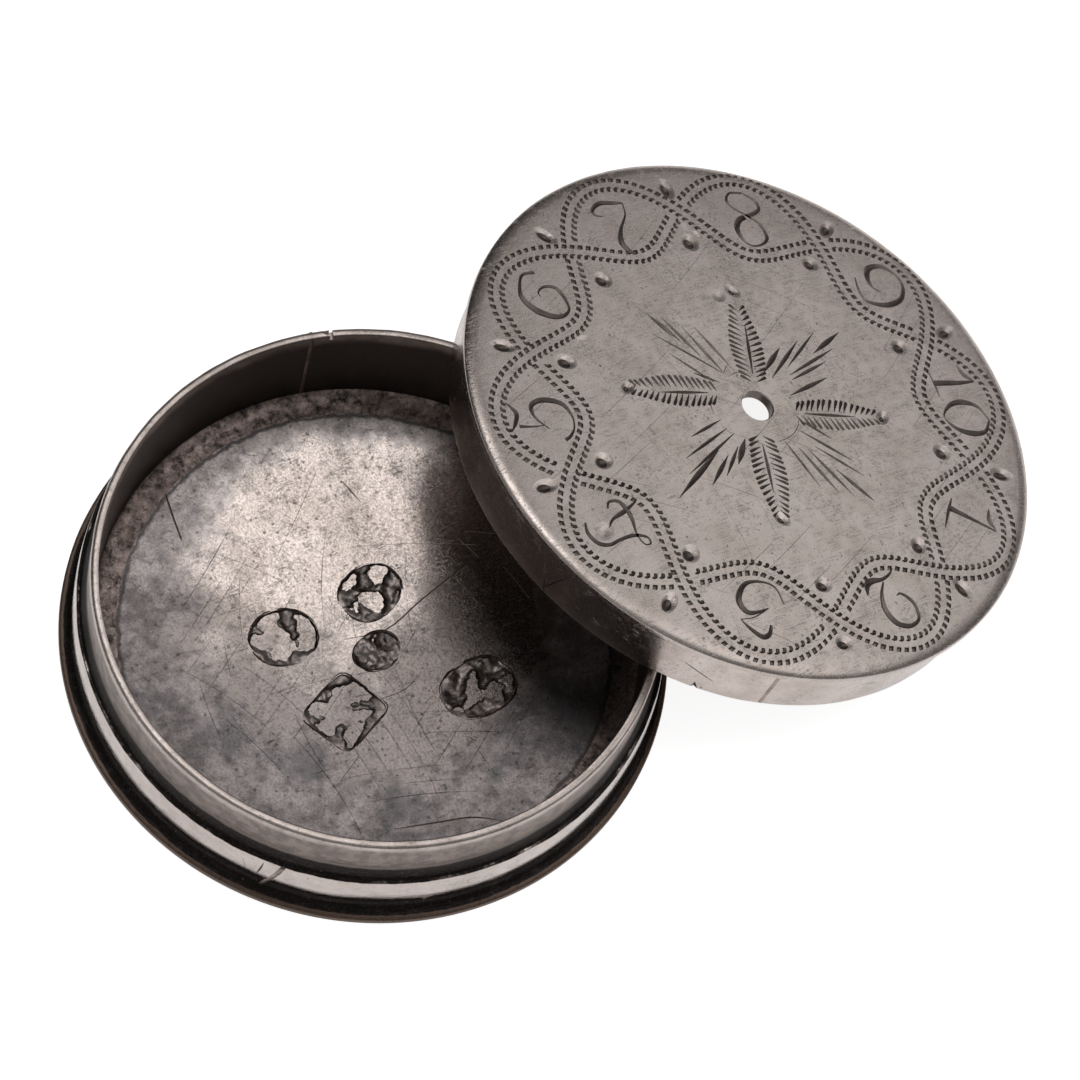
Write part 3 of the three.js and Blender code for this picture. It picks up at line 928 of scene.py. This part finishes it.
# Each number is cut upright, as strokes of (across, up, width) points, and then turned to its cell.
NUMBER_RADIUS = 17.3
NUMBERS = {
    1: [
        [(-2.6, 1.3, 0.1), (-1.7, 1.6, 0.36), (-1.2, 2.3, 0.1)],
        [(-1.1, 2.4, 0.14), (-0.9, 0.5, 0.3), (-0.7, -1.4, 0.5)],
        [(-1.6, -1.6, 0.1), (-0.4, -1.5, 0.26), (1.2, -1.3, 0.08)],
    ],
    2: [
        [(-0.2, -0.3, 0.08), (-0.6, -0.3, 0.2), (-1.0, 0.3, 0.3), (-1.1, 1.0, 0.28), (-0.7, 1.9, 0.26),
         (0.3, 2.1, 0.36), (1.2, 1.5, 0.48), (1.4, 0.3, 0.46), (0.9, -0.8, 0.3), (0.1, -1.6, 0.12)],
        [(-1.3, -2.2, 0.06), (-0.7, -1.9, 0.2), (0.1, -1.8, 0.3), (0.9, -2.0, 0.5), (1.5, -1.9, 0.5),
         (2.0, -1.2, 0.14)],
    ],
    3: [
        [(-0.8, 1.0, 0.2), (-0.7, 1.7, 0.34), (-0.2, 2.1, 0.4), (0.7, 1.7, 0.3), (1.5, 1.1, 0.1)],
        [(1.5, 1.1, 0.08), (0.5, 0.7, 0.1), (-0.5, -0.2, 0.1)],
        [(-0.6, -0.3, 0.1), (0.2, 0.2, 0.26), (1.0, 0.4, 0.42), (1.6, -0.2, 0.5), (1.6, -1.0, 0.46),
         (1.1, -1.9, 0.34), (0.0, -2.3, 0.2), (-1.1, -2.1, 0.16), (-1.8, -0.9, 0.12)],
    ],
    4: [
        [(1.7, 1.3, 0.14), (1.0, 1.8, 0.3), (0.0, 1.8, 0.36), (-0.6, 1.2, 0.3), (-0.8, 0.3, 0.26),
         (-1.2, -0.8, 0.3), (-1.9, -1.5, 0.2), (-2.4, -1.3, 0.14), (-2.1, -0.9, 0.12), (-1.2, -1.1, 0.16),
         (-0.3, -1.7, 0.3), (0.5, -2.0, 0.4), (1.3, -2.0, 0.3), (1.7, -1.4, 0.2), (1.4, -0.9, 0.14)],
        [(0.2, 0.4, 0.1), (0.6, -0.5, 0.22), (0.5, -1.7, 0.36), (0.5, -3.1, 0.1)],
    ],
    5: [
        [(-0.8, 2.4, 0.1), (-0.2, 2.0, 0.3), (0.5, 1.7, 0.34), (1.0, 1.9, 0.26), (1.5, 2.2, 0.08)],
        [(-0.5, 1.8, 0.3), (-0.6, 0.9, 0.16), (-0.6, -0.1, 0.08)],
        [(-0.9, -0.4, 0.1), (0.1, 0.4, 0.2), (1.1, 0.4, 0.36), (1.5, -0.6, 0.46), (1.1, -1.9, 0.4),
         (0.1, -2.4, 0.2), (-0.9, -2.3, 0.14), (-1.6, -1.8, 0.24), (-1.9, -1.3, 0.3)],
    ],
    6: [
        [(1.9, 1.1, 0.3), (1.2, 1.8, 0.24), (0.2, 1.7, 0.24), (-0.8, 1.2, 0.4), (-1.3, 0.0, 0.56),
         (-1.2, -1.2, 0.52), (-0.7, -2.0, 0.34), (0.1, -2.2, 0.22), (0.8, -1.7, 0.26), (1.4, -0.8, 0.32),
         (1.1, 0.0, 0.24), (0.4, 0.3, 0.16), (0.0, 0.0, 0.08)],
    ],
    7: [
        [(-1.0, 1.0, 0.1), (-1.5, 1.3, 0.2), (-1.4, 1.8, 0.3), (-0.5, 2.1, 0.4), (0.5, 1.8, 0.36),
         (1.3, 1.5, 0.2)],
        [(1.3, 1.5, 0.1), (0.8, 0.5, 0.14), (-0.4, -0.5, 0.3), (-1.1, -1.5, 0.5), (-1.0, -2.4, 0.42),
         (-0.7, -2.8, 0.14)],
    ],
    8: [
        [(-0.2, 2.6, 0.2), (0.8, 2.2, 0.26), (1.1, 1.4, 0.3), (0.4, 0.6, 0.4), (-0.5, -0.1, 0.5),
         (-0.8, -1.1, 0.44), (-0.3, -2.1, 0.26), (0.4, -2.4, 0.18), (1.2, -2.0, 0.24), (1.6, -1.2, 0.3),
         (1.1, -0.1, 0.26), (0.2, 0.4, 0.2), (-1.0, 0.9, 0.2), (-1.5, 1.5, 0.24), (-1.2, 2.3, 0.2),
         (-0.2, 2.6, 0.2)],
    ],
    9: [
        [(0.2, 0.1, 0.08), (-0.2, -0.1, 0.16), (-0.6, -0.1, 0.24), (-1.3, 0.3, 0.44), (-1.7, 1.1, 0.54),
         (-1.2, 2.2, 0.4), (0.0, 2.6, 0.24), (1.0, 2.2, 0.28), (1.6, 1.0, 0.42), (1.4, -0.2, 0.5),
         (0.8, -1.1, 0.4), (-0.1, -1.7, 0.26), (-1.1, -1.3, 0.24), (-1.9, -0.6, 0.1)],
    ],
    10: [
        [(-2.9, 1.2, 0.12), (-2.0, 1.5, 0.4), (-1.4, 2.2, 0.12)],
        [(-1.4, 2.1, 0.2), (-1.3, 0.6, 0.4), (-1.3, -0.9, 0.5), (-1.3, -1.6, 0.5)],
        [(-2.4, -1.6, 0.12), (-1.3, -1.5, 0.22), (-0.1, -1.5, 0.1)],
        [(2.0, 2.1, 0.14), (0.8, 1.5, 0.3), (0.4, 0.2, 0.5), (0.7, -1.0, 0.36), (1.6, -1.8, 0.14),
         (2.6, -1.2, 0.34), (3.1, 0.0, 0.5), (3.0, 1.3, 0.34), (2.0, 2.1, 0.14)],
    ],
}
numbers = bmesh.new()
second_strokes = bmesh.new()
for number, angle, _, _ in CELLS:
    turn = math.radians(angle)
    middle = (NUMBER_RADIUS * math.cos(turn), NUMBER_RADIUS * math.sin(turn))
    for index, path in enumerate(NUMBERS[number]):
        cutters = second_strokes if index % 2 else numbers
        stroke(cutters, with_curve(path, 5), 0.32, turn - math.pi / 2, middle)

# Each gouge beside a crossing: angle, distance out and, if unusual, half length and half width.
GOUGES = (
    (147.5, 19.2), (113.5, 19.5), (77.75, 19.5), (39.25, 19.6), (4.75, 19.6), (-32.25, 19.7),
    (-66.75, 19.5), (-102.5, 19.4, 0.5, 0.45), (-142.25, 19.6), (-177.25, 19.4),
    (148.25, 14.6, 0.7, 0.42), (113.5, 14.3, 0.65, 0.42), (77.75, 14.5, 0.7, 0.44),
    (40.0, 15.4, 0.6, 0.44), (5.5, 14.8, 0.68, 0.44), (-30.75, 14.8, 0.68, 0.44),
    (-66.25, 15.2, 0.62, 0.44), (-102.75, 14.8, 0.55, 0.45), (-142.5, 15.0, 0.68, 0.44),
    (-178.0, 14.2, 0.68, 0.44),
)
gouges = bmesh.new()
shaded_gouge_pits = bmesh.new()
USUAL_GOUGE = (0.85, 0.36)


def dimple(cutters, across, up, turn, half_length, half_width, depth):
    """A soft dent with no edge to it: deepest in its middle, level with the sheet all round."""
    sunk = [(ring / 8, -depth * (1 - (ring / 8) ** 2) ** 2) for ring in range(8)]
    dent = turned([*sunk, (1, 0.004), (1, 0.3), (0, 0.3)], closed=False, steps=24)
    place = Matrix.Translation((across, up, 0)) @ Matrix.Rotation(turn, 4, "Z")
    add_to(cutters, dent, place @ Matrix.Diagonal((half_length, half_width, 1, 1)))


for degrees, distance, *size in GOUGES:
    half_length, half_width = size or USUAL_GOUGE
    turn = math.radians(degrees)
    across, up = distance * math.cos(turn), distance * math.sin(turn)
    turn += random.uniform(-0.15, 0.15)
    dimple(gouges, across, up, turn, half_length * 1.25, half_width * 1.7, 0.13)
    # Each dark pit sits off the gouge's middle, the same way every time: dirt in the pit, placed as painted
    # shade on one side of the dent.
    dimple(shaded_gouge_pits, across - 0.13, up - 0.06, turn, half_length * 0.95, half_width * 1.35, 0.22)
dimple(gouges, 2.5, 9.3, 0.3, 0.7, 0.65, 0.06)
dimple(gouges, -17.2, -5.5, 0.3, 0.95, 0.75, 0.09)

# Each leaf of the star: where its rib starts and ends, and the dot past its tip.
LEAVES = (
    ((1.17, 2.5), (3.0, 6.33), (3.87, 9.37)),
    ((-3.25, 2.08), (-6.83, 3.2), (-9.08, 4.33)),
    ((3.33, -1.67), (7.25, -3.03), (9.5, -3.67)),
    ((-1.5, -3.0), (-2.92, -6.75), (-3.47, -8.83)),
)
LEAF_LENGTH = 6.3
LEAF_HALF_WIDTH = 1.32
BARBS = 15
star = bmesh.new()
star_marks = bmesh.new()
for root, tip, dot in LEAVES:
    way = math.atan2(dot[1] - root[1], dot[0] - root[0])
    rib = [(root[0], root[1], 0.08), ((root[0] + tip[0]) / 2, (root[1] + tip[1]) / 2, 0.26), (*tip, 0.06)]
    stroke(star, with_curve(rib, 6), 0.35)
    for side in (-1, 1):
        for barb in range(BARBS):
            share = (barb + random.uniform(-0.15, 0.15)) / (BARBS - 1)
            half = LEAF_HALF_WIDTH * (0.66 + 0.34 * math.sin(math.pi * min(1, 0.1 + share * 0.95)))
            half *= 1 - 0.62 * max(0, share - 0.45) ** 1.3
            run = -0.3 + LEAF_LENGTH * share
            path = [
                (run + 0.05, side * half, 0.2),
                (run - 0.06, side * half * 0.84, 0.27),
                (run - 0.2, side * half * 0.6, 0.2),
                (run - 0.42, side * half * 0.2, 0.05),
            ]
            stroke(star_marks, path, 0.4, way, root)
    dimple(gouges, *dot, way + 0.9, 0.75, 0.55, 0.12)
    # The dot's dark pit sits off the same way: dirt, placed as painted shade.
    dimple(shaded_gouge_pits, dot[0] - 0.12, dot[1] - 0.06, way + 0.9, 0.45, 0.34, 0.19)

# Each ray between the leaves: its start, its end and its widest.
RAYS = (
    ((-1.83, 2.58), (-3.42, 3.92), 0.24), ((-2.25, 2.67), (-4.33, 5.92), 0.2),
    ((-1.08, 3.17), (-4.67, 7.83), 0.2), ((-2.83, 6.58), (-4.08, 9.5), 0.4),
    ((-2.03, 5.0), (-3.13, 8.83), 0.3), ((-1.08, 3.33), (-2.03, 7.67), 0.28),
    ((-0.17, 3.33), (-1.08, 7.42), 0.26), ((2.08, 2.33), (4.67, 3.92), 0.44),
    ((2.5, 1.75), (6.5, 4.08), 0.34), ((4.33, 2.25), (8.17, 4.33), 0.26),
    ((7.08, 2.72), (10.33, 3.83), 0.42), ((4.08, 1.58), (8.92, 2.67), 0.3),
    ((4.0, 1.17), (7.67, 1.83), 0.3), ((3.08, 0.03), (7.0, 0.58), 0.36),
    ((2.67, -2.08), (4.25, -4.17), 0.24), ((2.08, -2.83), (4.92, -6.33), 0.26),
    ((2.5, -4.33), (5.0, -7.58), 0.22), ((3.08, -6.5), (4.67, -9.75), 0.34),
    ((1.83, -4.33), (3.25, -8.83), 0.28), ((1.17, -4.08), (2.2, -8.25), 0.3),
    ((0.38, -3.25), (1.0, -7.42), 0.22), ((-3.67, -0.25), (-6.58, -0.8), 0.26),
    ((-3.5, -1.0), (-8.0, -2.25), 0.26), ((-3.17, -1.53), (-8.5, -3.5), 0.26),
    ((-5.17, -2.42), (-10.25, -4.92), 0.46), ((-4.67, -3.0), (-7.25, -4.83), 0.36),
    ((-3.5, -2.58), (-5.75, -4.5), 0.3), ((-2.58, -2.17), (-4.33, -3.92), 0.5),
)
for start, end, widest in RAYS:
    middle = ((start[0] + end[0]) / 2, (start[1] + end[1]) / 2)
    stroke(star, with_curve([(*start, 0.05), (*middle, widest), (*end, 0.04)], 6), 0.3)

# The faint lines that the engraver drew round the hole to set the star out: points as (x, y, width).
guide_lines = graver_work(
    (
        [(-0.9, 2.86, 0.04), (-0.1, 2.94, 0.09), (0.7, 2.83, 0.04)],
        [(-1.1, 3.17, 0.04), (-0.7, 3.55, 0.08), (-0.25, 3.83, 0.04)],
        [(-3.85, 0.3, 0.04), (-3.67, 1.0, 0.08), (-3.3, 1.67, 0.04)],
        [(-3.8, -0.33, 0.04), (-3.65, -1.0, 0.08), (-3.35, -1.67, 0.04)],
        [(-0.17, -3.17, 0.04), (1.17, -3.0, 0.09), (2.08, -2.5, 0.08), (2.5, -2.0, 0.04)],
        [(3.5, -0.33, 0.04), (3.42, -0.8, 0.07), (3.25, -1.33, 0.04)],
        [(8.83, 6.17, 0.03), (9.67, 4.33, 0.07), (10.25, 2.33, 0.03)],
    )
)
LID_HAIRS = ((0.45, 0.004, 1.3), (-0.7, -0.01, 1.6), (1.7, 0.012, 1.9))
LID_HAIR_REACH = 20.5
lid_hairs = [hair_scratches(heading, bend, gap, LID_HAIR_REACH) for heading, bend, gap in LID_HAIRS]
lid_plate = cut_away(lid_plate, gouges, finish=2)
lid_plate = cut_away(lid_plate, shaded_gouge_pits, finish=4)
lid_plate = cut_away(lid_plate, guide_lines, *lid_hairs, finish=2)
lid_plate = cut_away(lid_plate, engraved_rows, hooked_rows, numbers, second_strokes, star, star_marks)
lid_plate.normal_update()
# Faces under the plate and the pivot hole's wall take the darker inside finish: painted shade under the lid.
for face in lid_plate.faces:
    if face.normal.z < -0.7 or face.calc_center_median().xy.length < PIVOT_HOLE + 0.02:
        face.material_index = 3
for vert in lid_plate.verts:
    vert.co.z += dome(math.hypot(vert.co.x, vert.co.y))
waved(lid_plate, 0.012, 4.0, (1, 2, 7))


def silver_on_lid(name, **look):
    """Silver whose marks are laid out from the middle of the leaning lid."""
    return silver(name, origin=tuple(lid_middle), lean=lean, **look)


lid_silver = silver_on_lid(
    "lid_silver", film=(0.44, 0.375, 0.335), film_share=0.6, dark_share=0.08, patch_size=0.3,
    smooth=0.24, dull=0.36, scratch_size=1.3, pit_size=0.24, mottling=0.2,
)
cut_wear = {"film_share": 0.8, "dark_share": 0.3, "patch_size": 0.7, "dull": 0.55}
engraved_cuts = silver_on_lid(
    "engraved_cuts", clean=(0.24, 0.2, 0.18), film=(0.12, 0.1, 0.088), smooth=0.42, **cut_wear
)
# Dark brown for the pits: dirt in them, and painted shade on the same side of every dent.
gouge_dirt_and_shade = silver_on_lid(
    "gouge_dirt_and_shade", clean=(0.14, 0.113, 0.1), film=(0.09, 0.072, 0.063), smooth=0.45, **cut_wear
)
# The lid's inside is coloured dark: tarnish, darkened further as painted shade under the lid.
lid_shaded_inside = silver_on_lid(
    "lid_inside_silver", clean=(0.24, 0.2, 0.18), film=(0.14, 0.115, 0.1), dark=(0.07, 0.06, 0.055),
    film_share=0.8, dark_share=0.5, smooth=0.35, dull=0.5,
)
plate_finishes = [lid_silver, engraved_cuts, lid_silver, lid_shaded_inside, gouge_dirt_and_shade]
put_in_place(lid_plate, "lid_plate_engraved", "lid_plate", "lid", plate_finishes, lid_place)

# Lid wall: a strip of silver bent round and soldered under the plate, a little in from its edge.
# Its lower rim is knocked, with one nick, and its outside is scratched from use.
LID_HEIGHT = 5.05
LID_WALL_OUTER = 21.32
LID_WALL_INNER = 20.52
WALL_TOP = -0.7
wall_line = [(LID_WALL_INNER, WALL_TOP, 0), (LID_WALL_INNER, -3.0, 0), (LID_WALL_INNER, -LID_HEIGHT, 0.12)]
wall_line += [(LID_WALL_OUTER, -LID_HEIGHT, 0.16)]
wall_line += [(LID_WALL_OUTER, height, 0) for height in (-4.0, -2.6, -1.4, WALL_TOP)]
lid_wall = turned(eased(wall_line))
wall_scratches = bmesh.new()
crossing_scratches = bmesh.new()
stroke(wall_scratches, [(-62.2, -1.7, 0.05), (-61.4, -3.3, 0.13), (-60.7, -4.9, 0.06)])
stroke(crossing_scratches, [(-59.7, -1.9, 0.05), (-60.3, -3.2, 0.12), (-60.9, -4.8, 0.05)])
stroke(wall_scratches, [(-48.3, -4.4, 0.08), (-48.1, -5.2, 0.7)])
WALL_SCRATCHES = 26
for _ in range(WALL_SCRATCHES):
    along = random.uniform(-64, 64)
    high = random.uniform(-4.4, -1.4)
    slope = random.uniform(-0.5, 0.5)
    half = random.uniform(0.4, 1.8)
    ends = [(along - half, high - slope, 0.03), (along, high, 0.07), (along + half, high + slope, 0.03)]
    stroke(crossing_scratches, ends)
bent_scratches = [wrapped(marks, LID_WALL_OUTER) for marks in (wall_scratches, crossing_scratches)]
lid_wall = cut_away(lid_wall, *bent_scratches)
lid_wall.normal_update()
# The wall's inward faces take the darker inside finish: painted shade inside the lid.
for face in lid_wall.faces:
    outward = face.normal.xy.dot(face.calc_center_median().xy)
    if outward < -10:
        face.material_index = 2
waved(lid_wall, 0.03, 2.4, (9, 1, 3), lambda spot: 1.0 if spot.z < -1 else 0.0)


def wall_shadow_line(place, apart):
    """A dark line in the corner under the plate's edge: painted shadow of the plate's overhang."""
    height = wandering(apart[2], place, 0.9, 0.3)
    return [(ramp(height, -1.0, -0.85), (0.04, 0.034, 0.03, 1), 0.5, 0.6)]


lid_wall_silver = silver_on_lid(
    "lid_wall_silver", clean=(0.58, 0.51, 0.475), film_share=0.6, patch_size=0.35, scratches=0.3,
    wall_radius=LID_WALL_OUTER, dirt=wall_shadow_line,
)
wall_cuts = silver_on_lid(
    "lid_wall_scratches", clean=(0.12, 0.1, 0.09), film=(0.08, 0.065, 0.06), smooth=0.35
)
wall_finishes = [lid_wall_silver, wall_cuts, lid_shaded_inside]
put_in_place(lid_wall, "lid_wall_strip", "lid_wall", "lid", wall_finishes, lid_place)

# Lid wall joint: the upright run of silver solder that closes the lid's wall.
# It stands as a thin dull line on both faces of the strip, at the front.
wall_joint = seam_strip(LID_WALL_INNER - 0.02, LID_WALL_OUTER + 0.02, -LID_HEIGHT + 0.08, WALL_TOP, -116)
put_in_place(wall_joint, "lid_joint_solder", "lid_seam_solder", "lid", [solder_silver], lid_place)

# Lid solder: silver solder run round the inside corner between the plate and its wall.
# It follows the raised underside of the plate, and isn't seen from above.
LID_SOLDER_INNER = 19.6
plate_under = dome(LID_SOLDER_INNER) - LID_THICKNESS
lid_solder_line = [(LID_SOLDER_INNER, plate_under + 0.03)]
wall_end = (LID_WALL_INNER + 0.04, -1.3)
lid_solder_line += hollow((LID_SOLDER_INNER, plate_under - 0.02), (20.3, -0.85), wall_end)
lid_solder_line += [(LID_WALL_INNER + 0.04, dome(20.5) - LID_THICKNESS + 0.03)]
lid_solder = turned(lid_solder_line)
put_in_place(lid_solder, "lid_solder_run", "lid_solder_fillet", "lid", [solder_silver], lid_place)

# The table is a plain pale board, white to the camera and in reflections, that keeps the box's shadow.
# A wide soft lamp and a dim room with soft bright patches light the silver.
TABLE_SIZE = 3.0
table = bmesh.new()
bmesh.ops.create_grid(table, x_segments=2, y_segments=2, size=TABLE_SIZE / 2)
table_mesh = bpy.data.meshes.new("table_top")
table.to_mesh(table_mesh)
table.free()
table_top = new_object("table_top", table_mesh)
board = bpy.data.materials.new("pale_board")
board.use_nodes = True
tree = board.node_tree
tree.nodes.clear()
seen_by = node(tree, "LightPath").outputs
plain = node(tree, "BsdfDiffuse", {"Color": (0.82, 0.82, 0.82, 1)})
mirrored = maths("MAXIMUM", seen_by["Is Glossy Ray"], seen_by["Is Transmission Ray"])
glow = plus(times(seen_by["Is Camera Ray"], 0.85), times(mirrored, 0.65))
pale = node(tree, "Emission", {"Color": (1, 1, 1, 1), "Strength": glow})
both = node(tree, "AddShader", {0: plain.outputs[0], 1: pale.outputs[0]})
node(tree, "OutputMaterial", {"Surface": both.outputs[0]})
table_mesh.materials.append(board)


def direction(azimuth, elevation):
    """Unit vector towards a place in the room: azimuth turns from +Y towards +X, elevation goes up."""
    flat = math.cos(math.radians(elevation))
    turn = math.radians(azimuth)
    return Vector((flat * math.sin(turn), flat * math.cos(turn), math.sin(math.radians(elevation))))


# Each patch of light in the room: azimuth, elevation, inner and outer half angle, strength.
ROOM_LIGHTS = (
    (71, 34, 7, 18, 0.66),
    (72, 32, 14, 42, 0.16),
    (15, 67, 11.9, 13.2, 2.2),
    (42, 82, 6, 15, 1.3),
    (103, 55, 10, 24, 1.15),
    (-110, 55, 25, 62, 0.28),
    (150, 18, 15, 45, 0.2),
)
ROOM_DIM = 0.042
room = bpy.data.worlds.new("studio")
bpy.context.scene.world = room
room.use_nodes = True
tree = room.node_tree
tree.nodes.clear()
looking = node(tree, "TexCoord").outputs["Generated"]
level = ROOM_DIM
for azimuth, elevation, inner_angle, outer_angle, strength in ROOM_LIGHTS:
    ways = {0: looking, 1: direction(azimuth, elevation)}
    towards = node(tree, "VectorMath", ways, operation="DOT_PRODUCT").outputs["Value"]
    edges = (math.cos(math.radians(outer_angle)), math.cos(math.radians(inner_angle)))
    level = plus(ramp(towards, *edges, 0.0, strength), level)
dim = node(tree, "Background", {"Color": (1, 1, 1, 1), "Strength": level})
white = node(tree, "Background", {"Color": (1, 1, 1, 1), "Strength": 1.0})
to_camera = node(tree, "LightPath").outputs["Is Camera Ray"]
chosen = node(tree, "MixShader", {0: to_camera, 1: dim.outputs[0], 2: white.outputs[0]})
node(tree, "OutputWorld", {"Surface": chosen.outputs[0]})

LAMP_DISTANCE = 0.7
lamp_data = bpy.data.lights.new("soft_lamp", "AREA")
lamp_data.shape = "DISK"
lamp_data.size = 0.2
lamp_data.energy = 0.05
lamp = new_object("soft_lamp", lamp_data)
lamp_way = direction(44, 56)
lamp.location = lamp_way * LAMP_DISTANCE
lamp.rotation_euler = lamp_way.to_track_quat("Z", "Y").to_euler()

# The camera looks down at the box from beyond its near left side, through a long lens.
# It is rolled a little, so that the box lies aslant in the frame.
CAMERA_SPOT = Vector((-97.916, -107.802, 293.246)) * MM
LOOK_AZIMUTH = 45.998
LOOK_DOWN = 61.774
CAMERA_ROLL = 18.655
LENS = 153.37
ahead = direction(LOOK_AZIMUTH, -LOOK_DOWN)
level_right = ahead.cross(Vector((0, 0, 1))).normalized()
rolled = Matrix.Rotation(math.radians(-CAMERA_ROLL), 3, ahead)
right = rolled @ level_right
up = right.cross(ahead)
camera_data = bpy.data.cameras.new("camera")
camera_data.lens = LENS
camera_data.sensor_width = 36.0
camera_data.clip_start = 0.01
camera = new_object("camera", camera_data)
turn_of = Matrix((right, up, -ahead)).transposed()
camera.matrix_world = Matrix.Translation(CAMERA_SPOT) @ turn_of.to_4x4()
bpy.context.scene.camera = camera
bpy.context.scene.view_settings.view_transform = "Standard"
